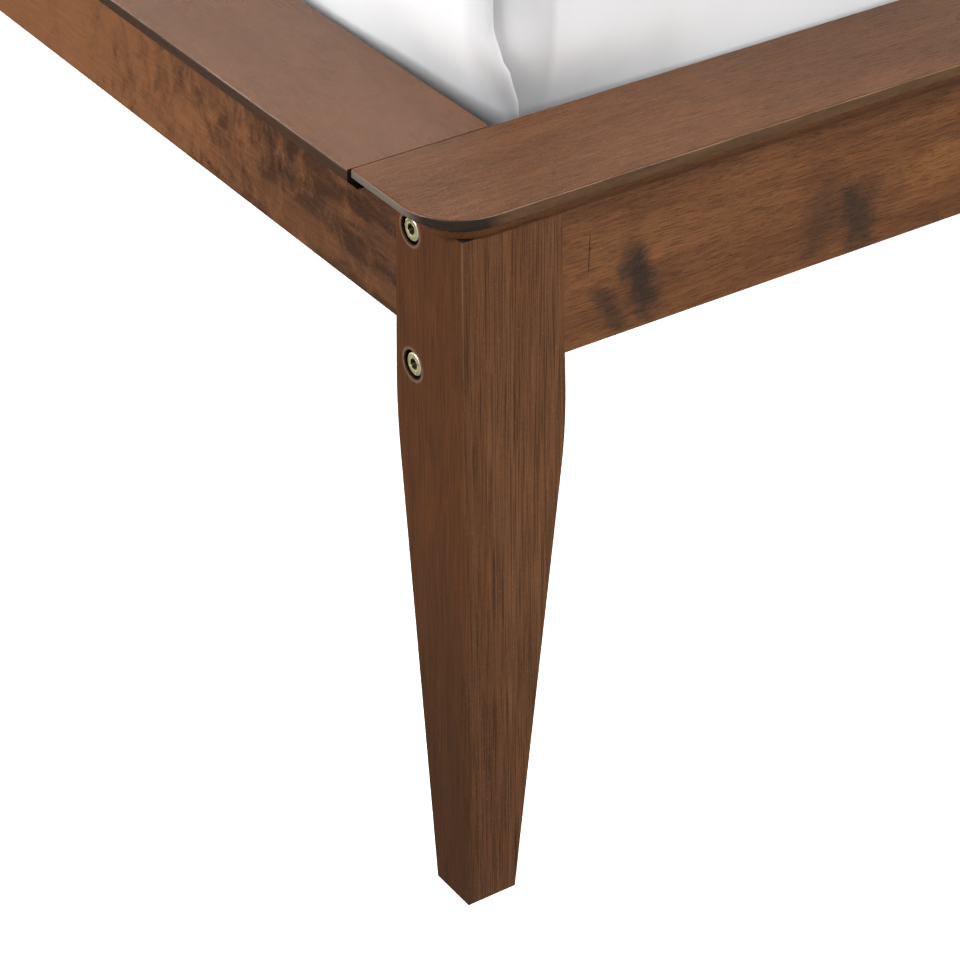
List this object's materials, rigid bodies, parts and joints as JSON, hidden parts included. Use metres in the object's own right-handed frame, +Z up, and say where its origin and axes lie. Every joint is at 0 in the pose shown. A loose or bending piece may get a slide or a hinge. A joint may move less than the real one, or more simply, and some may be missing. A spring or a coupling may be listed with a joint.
{
  "type": "sleigh bed",
  "caption": "Low walnut-stained wooden bed with tapered corner legs, rails capped by flat ledge boards, a backward-curved headboard, slatted deck and sheeted mattress.",
  "frame": {"origin": "on the floor, at the centre of the bed's overall box", "axes": "+Z up, width along X, length along Y with the foot end at -Y and the headboard at +Y"},
  "size_m": [1.717, 2.3668, 0.9911],
  "materials": {
    "walnut": "satin lacquer over walnut-brown stain, open grain",
    "walnut_cap": "satin lacquer, finer and slightly redder grain",
    "pale_wood": "planed, unfinished",
    "dowel_wood": "fluted beech, unfinished",
    "webbing": "woven cotton tape",
    "yellow_zinc": "yellow-passivated zinc plate on steel, slightly worn",
    "steel": "zinc plated",
    "foot_plastic": "moulded black plastic",
    "mattress_cover": "knitted ticking",
    "cotton_sheet": "plain white percale"
  },
  "bodies": {
    "frame": {"foot_leg_left": "walnut", "foot_leg_right": "walnut", "foot_rail": "walnut", "foot_cap": "walnut_cap", "side_rail_left": "walnut", "side_rail_right": "walnut", "side_cap_left": "walnut_cap", "side_cap_right": "walnut_cap", "head_post_left": "walnut", "head_post_right": "walnut", "head_rail": "walnut", "headboard_base_rail": "walnut", "headboard_panel": "walnut", "headboard_roll": "walnut", "slat_cleat_left": "pale_wood", "slat_cleat_right": "pale_wood", "centre_beam": "pale_wood", "beam_hanger_foot": "steel", "beam_hanger_head": "steel", "centre_leg_foot": "pale_wood", "centre_leg_middle": "pale_wood", "centre_leg_head": "pale_wood", "leveller_inserts": "steel", "centre_leg_bolts": "steel", "slat_01": "pale_wood", "slat_02": "pale_wood", "slat_03": "pale_wood", "slat_04": "pale_wood", "slat_05": "pale_wood", "slat_06": "pale_wood", "slat_07": "pale_wood", "slat_08": "pale_wood", "slat_09": "pale_wood", "slat_10": "pale_wood", "slat_11": "pale_wood", "slat_12": "pale_wood", "slat_13": "pale_wood", "slat_tape_left": "webbing", "slat_tape_right": "webbing", "slat_screws": "steel", "foot_bolts": "yellow_zinc", "foot_barrel_nuts": "steel", "head_bolts": "yellow_zinc", "head_barrel_nuts": "steel", "rail_hook_plates": "steel", "leg_slot_plates": "steel", "plate_screws": "steel", "cleat_screws": "steel", "hanger_screws": "steel", "cap_dowels": "dowel_wood", "rail_dowels": "dowel_wood"},
    "bedding": {"mattress": "mattress_cover", "fitted_sheet": "cotton_sheet"},
    "leveller_foot": {"leveller_foot": "foot_plastic"},
    "leveller_middle": {"leveller_middle": "foot_plastic"},
    "leveller_head": {"leveller_head": "foot_plastic"}
  },
  "joints": [
    {"name": "mattress_lift", "type": "slide", "parent": "frame", "child": "bedding", "axis": [0, 0, 1], "range_m": [0, 0.6]},
    {"name": "leveller_foot_screw", "type": "slide", "parent": "frame", "child": "leveller_foot", "axis": [0, 0, 1], "range_m": [-0.015, 0]},
    {"name": "leveller_middle_screw", "type": "slide", "parent": "frame", "child": "leveller_middle", "axis": [0, 0, 1], "range_m": [-0.015, 0]},
    {"name": "leveller_head_screw", "type": "slide", "parent": "frame", "child": "leveller_head", "axis": [0, 0, 1], "range_m": [-0.015, 0]}
  ]
}
